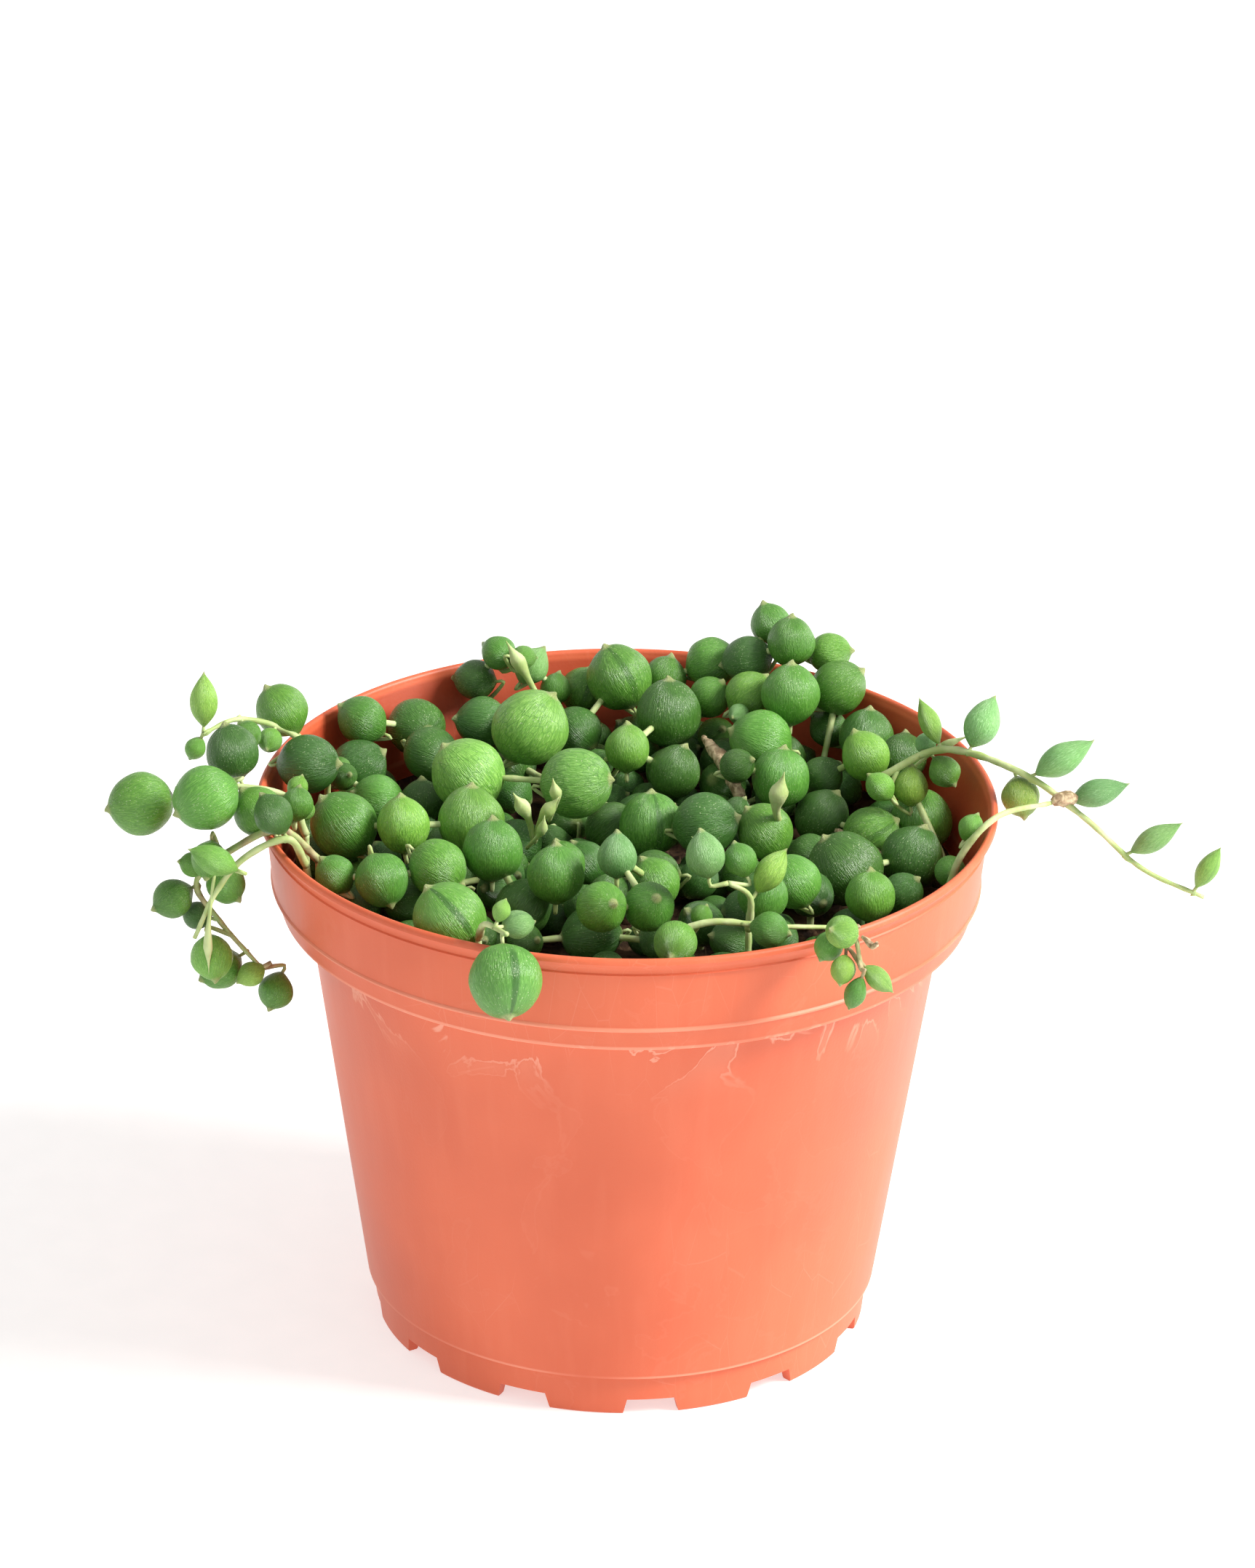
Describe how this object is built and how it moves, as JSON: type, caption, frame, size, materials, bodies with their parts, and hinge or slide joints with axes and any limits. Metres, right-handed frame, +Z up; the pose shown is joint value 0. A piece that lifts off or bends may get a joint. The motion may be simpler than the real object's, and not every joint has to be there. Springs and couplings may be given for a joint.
{
  "type": "potted string of pearls",
  "caption": "Trailing succulent with round, pea-like leaves on thin stems, growing in a round plastic nursery pot with a stepped collar.",
  "frame": {"origin": "on the surface the pot stands on, under the middle of the whole outline; the pot's own axis is 5.8 mm to -X and 4.3 mm to +Y of it, because the shoot on the right reaches further out than the strands on the left, and the front leaf further than the back ones", "axes": "+Z up; +X along the whole plant's longest extent, towards the long shoot; -Y is the front, where one large leaf and a small cluster hang over the rim"},
  "size_m": [0.1566, 0.1136, 0.0955],
  "materials": {
    "terracotta_plastic": "terracotta-coloured moulded plastic with a soft sheen",
    "potting_soil": "dark, crumbly, peat-based potting mix",
    "leaf_green": "smooth, waxy, slightly translucent succulent leaf"
  },
  "bodies": {
    "root": {"pot": "terracotta_plastic", "potting_soil": "potting_soil", "strand_back_heap": "leaf_green", "strand_back_left": "leaf_green", "strand_back_middle": "leaf_green", "strand_centre": "leaf_green", "strand_centre_back": "leaf_green", "strand_front_fork": "leaf_green", "strand_front_hanging": "leaf_green", "strand_front_low": "leaf_green", "strand_front_middle": "leaf_green", "strand_front_right": "leaf_green", "strand_front_rim": "leaf_green", "strand_front_row": "leaf_green", "strand_front_shoot": "leaf_green", "strand_left_back": "leaf_green", "strand_left_bunch": "leaf_green", "strand_left_cluster": "leaf_green", "strand_left_curtain": "leaf_green", "strand_left_front": "leaf_green", "strand_left_inner": "leaf_green", "strand_left_middle": "leaf_green", "strand_left_trail": "leaf_green", "strand_pale_pair": "leaf_green", "strand_right_back": "leaf_green", "strand_right_bed": "leaf_green", "strand_right_edge": "leaf_green", "strand_right_low": "leaf_green", "strand_right_shoot": "leaf_green", "strand_second_row": "leaf_green", "strand_shade_back": "leaf_green", "strand_shade_front": "leaf_green", "strand_shade_left": "leaf_green", "strand_shade_middle": "leaf_green", "strand_striped": "leaf_green"}
  },
  "joints": []
}
